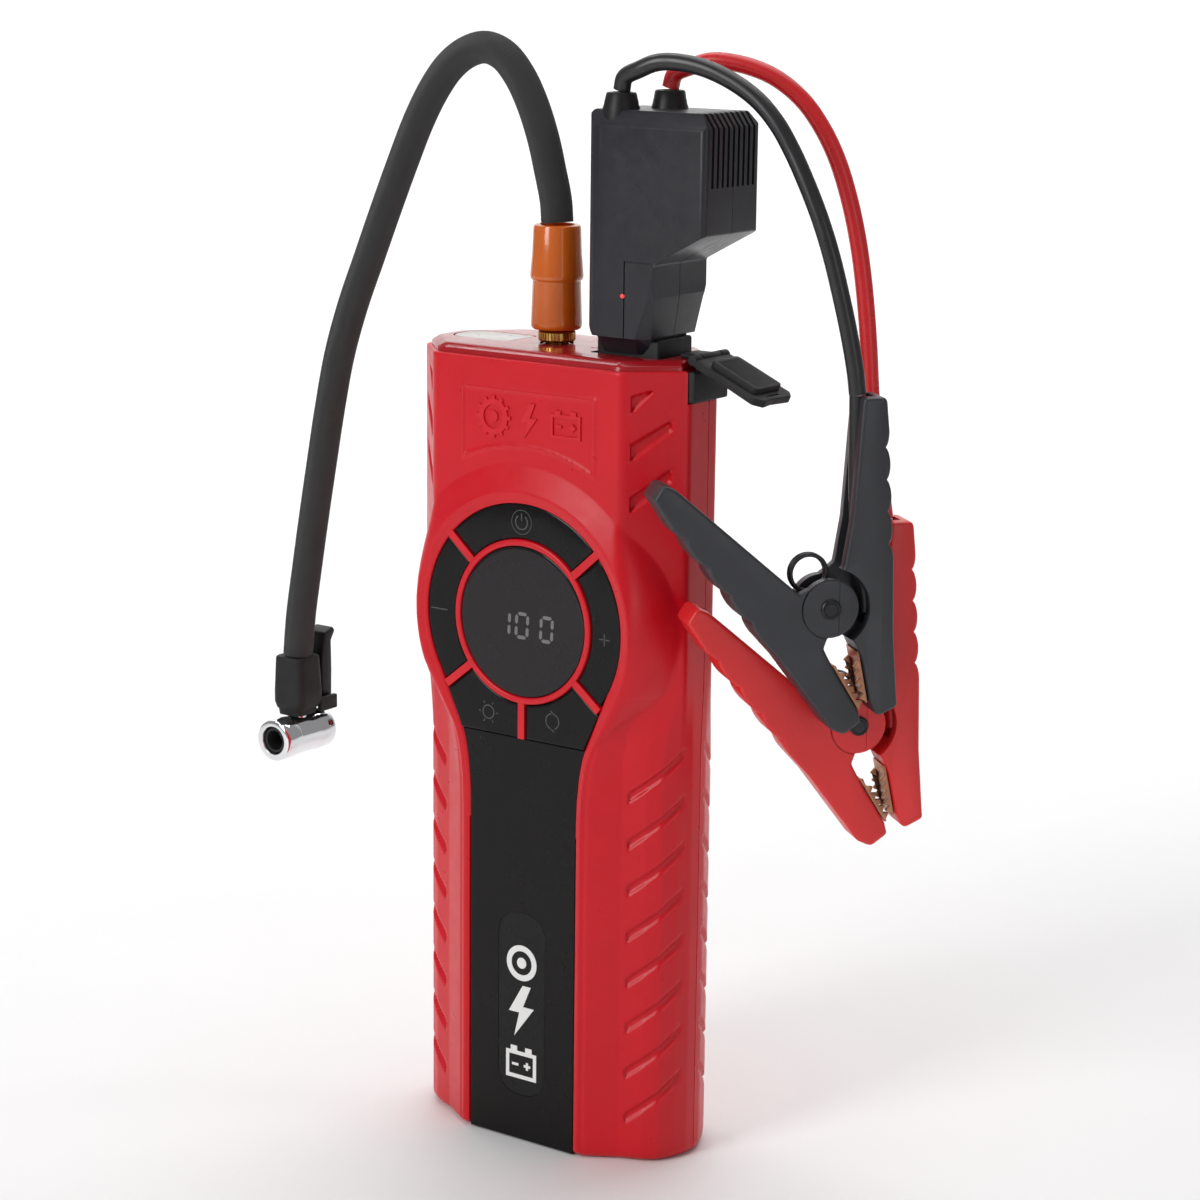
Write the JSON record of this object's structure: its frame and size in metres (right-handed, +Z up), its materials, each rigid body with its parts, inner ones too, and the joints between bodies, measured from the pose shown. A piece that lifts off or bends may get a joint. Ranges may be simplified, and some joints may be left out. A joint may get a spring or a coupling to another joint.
{
  "type": "jump starter pack",
  "caption": "Handheld jump starter pack with round display and button ring, air hose with valve chuck, and a smart plug with two battery clamp leads.",
  "frame": {"origin": "centre of the pack underside, on the surface it stands on", "axes": "+Z up along the pack, front with the display towards -Y, right side towards +X"},
  "size_m": [0.22, 0.0825, 0.3255],
  "materials": {
    "housing_red": "satin moulded",
    "cap_gloss": "gloss",
    "panel_black": "gloss",
    "black_plastic": "fine texture",
    "plug_black": "fine texture",
    "rubber_black": "matt",
    "torch_lens": "frosted",
    "chrome": "polished",
    "brass": "machined",
    "steel": "zinc plated",
    "sleeve_orange": "gloss",
    "hose_braid": "braided",
    "copper_jaw": "copper plated",
    "board": "solder mask",
    "cell": "wrapped",
    "clamp_black": "fine texture",
    "clamp_red": "fine texture",
    "cable_black": "smooth",
    "cable_red": "smooth"
  },
  "bodies": {
    "pack": {"front_shell": "housing_red", "rear_shell": "housing_red", "top_cap": "cap_gloss", "front_panel": "panel_black", "dial_frame": "housing_red", "display_window": "panel_black", "torch_lens": "torch_lens", "torch_reflector": "chrome", "jump_socket": "black_plastic", "flap_strap": "rubber_black", "usb_port_a": "steel", "usb_port_c": "steel", "case_screw_1": "steel", "case_screw_2": "steel", "main_board": "board", "battery_cell_1": "cell", "battery_cell_2": "cell", "motor": "steel", "compressor_frame": "steel", "cylinder": "steel", "air_outlet": "brass"},
    "power_button": {"button_power": "panel_black"},
    "minus_button": {"button_minus": "panel_black"},
    "plus_button": {"button_plus": "panel_black"},
    "light_button": {"button_light": "panel_black"},
    "mode_button": {"button_mode": "panel_black"},
    "socket_flap": {"socket_flap": "rubber_black"},
    "port_cover": {"port_cover": "rubber_black"},
    "crank": {"crank_gear": "steel"},
    "pinion": {"motor_pinion": "brass"},
    "piston": {"piston": "steel"},
    "rod": {"con_rod": "steel"},
    "hose": {"hose_sleeve": "sleeve_orange", "air_hose": "hose_braid", "chuck_grip": "rubber_black", "chuck_barrel": "chrome", "chuck_seal": "rubber_black"},
    "hose_nut": {"hose_nut": "brass"},
    "chuck_lever": {"chuck_lever": "black_plastic"},
    "smart_plug": {"plug_shell_front": "plug_black", "plug_shell_rear": "plug_black", "plug_connector": "black_plastic", "boot_black": "plug_black", "boot_red": "plug_black", "black_cable": "cable_black", "red_cable": "cable_red", "black_clamp_fixed_arm": "clamp_black", "black_clamp_fixed_jaw": "copper_jaw", "black_clamp_rivet": "steel", "black_clamp_spring": "steel", "red_clamp_fixed_arm": "clamp_red", "red_clamp_fixed_jaw": "copper_jaw", "red_clamp_rivet": "steel", "red_clamp_spring": "steel"},
    "black_clamp_arm": {"black_clamp_moving_arm": "clamp_black", "black_clamp_moving_jaw": "copper_jaw"},
    "red_clamp_arm": {"red_clamp_moving_arm": "clamp_red", "red_clamp_moving_jaw": "copper_jaw"}
  },
  "joints": [
    {"name": "power_press", "type": "slide", "parent": "pack", "child": "power_button", "axis": [0, 1, 0], "range_m": [0, 0.0006], "stiffness_N_per_m": 900, "springref_m": -0.0006},
    {"name": "minus_press", "type": "slide", "parent": "pack", "child": "minus_button", "axis": [0, 1, 0], "range_m": [0, 0.0006], "stiffness_N_per_m": 900, "springref_m": -0.0006},
    {"name": "plus_press", "type": "slide", "parent": "pack", "child": "plus_button", "axis": [0, 1, 0], "range_m": [0, 0.0006], "stiffness_N_per_m": 900, "springref_m": -0.0006},
    {"name": "light_press", "type": "slide", "parent": "pack", "child": "light_button", "axis": [0, 1, 0], "range_m": [0, 0.0006], "stiffness_N_per_m": 900, "springref_m": -0.0006},
    {"name": "mode_press", "type": "slide", "parent": "pack", "child": "mode_button", "axis": [0, 1, 0], "range_m": [0, 0.0006], "stiffness_N_per_m": 900, "springref_m": -0.0006},
    {"name": "flap_hinge", "type": "hinge", "parent": "pack", "child": "socket_flap", "pos_m": [0.0474, 0, 0.2384], "axis": [0, -1, 0], "range_deg": [-28, 98]},
    {"name": "port_cover_hinge", "type": "hinge", "parent": "pack", "child": "port_cover", "pos_m": [-0.0474, 0, 0.1883], "axis": [0, -1, 0], "range_deg": [0, 100]},
    {"name": "plug_pull", "type": "slide", "parent": "pack", "child": "smart_plug", "axis": [0, 0, 1], "range_m": [0, 0.022]},
    {"name": "black_clamp_squeeze", "type": "hinge", "parent": "smart_plug", "child": "black_clamp_arm", "pos_m": [0.089, -0.0033, 0.1739], "axis": [-0.766, 0.6428, 0], "range_deg": [0, 22], "stiffness_Nm_per_rad": 0.5, "springref_deg": -34.38},
    {"name": "red_clamp_squeeze", "type": "hinge", "parent": "smart_plug", "child": "red_clamp_arm", "pos_m": [0.0869, 0.0173, 0.1362], "axis": [-0.766, 0.6428, 0], "range_deg": [0, 22], "stiffness_Nm_per_rad": 0.5, "springref_deg": -34.38},
    {"name": "hose_lift", "type": "slide", "parent": "pack", "child": "hose", "axis": [0, 0, 1], "range_m": [0, 0.012]},
    {"name": "nut_spin", "type": "hinge", "parent": "hose", "child": "hose_nut", "pos_m": [-0.0054, 0, 0.24], "axis": [0, 0, 1], "continuous": true},
    {"name": "chuck_lever_hinge", "type": "hinge", "parent": "hose", "child": "chuck_lever", "pos_m": [-0.1064, 0.0108, 0.113], "axis": [-1, 0, 0], "range_deg": [0, 90]},
    {"name": "crank_spin", "type": "hinge", "parent": "pack", "child": "crank", "pos_m": [-0.0054, -0.007, 0.14], "axis": [0, 1, 0], "continuous": true},
    {"name": "pinion_spin", "type": "hinge", "parent": "pack", "child": "pinion", "pos_m": [0.0146, -0.007, 0.14], "axis": [0, 1, 0], "continuous": true},
    {"name": "piston_stroke", "type": "slide", "parent": "pack", "child": "piston", "axis": [0, 0, 1], "range_m": [-0.012, 0]},
    {"name": "rod_swing", "type": "hinge", "parent": "piston", "child": "rod", "pos_m": [-0.0054, -0.0025, 0.174], "axis": [0, 1, 0], "range_deg": [-13, 13]}
  ],
  "couplings": [
    {"joint": "pinion_spin", "follows": "crank_spin", "ratio": -4}
  ]
}
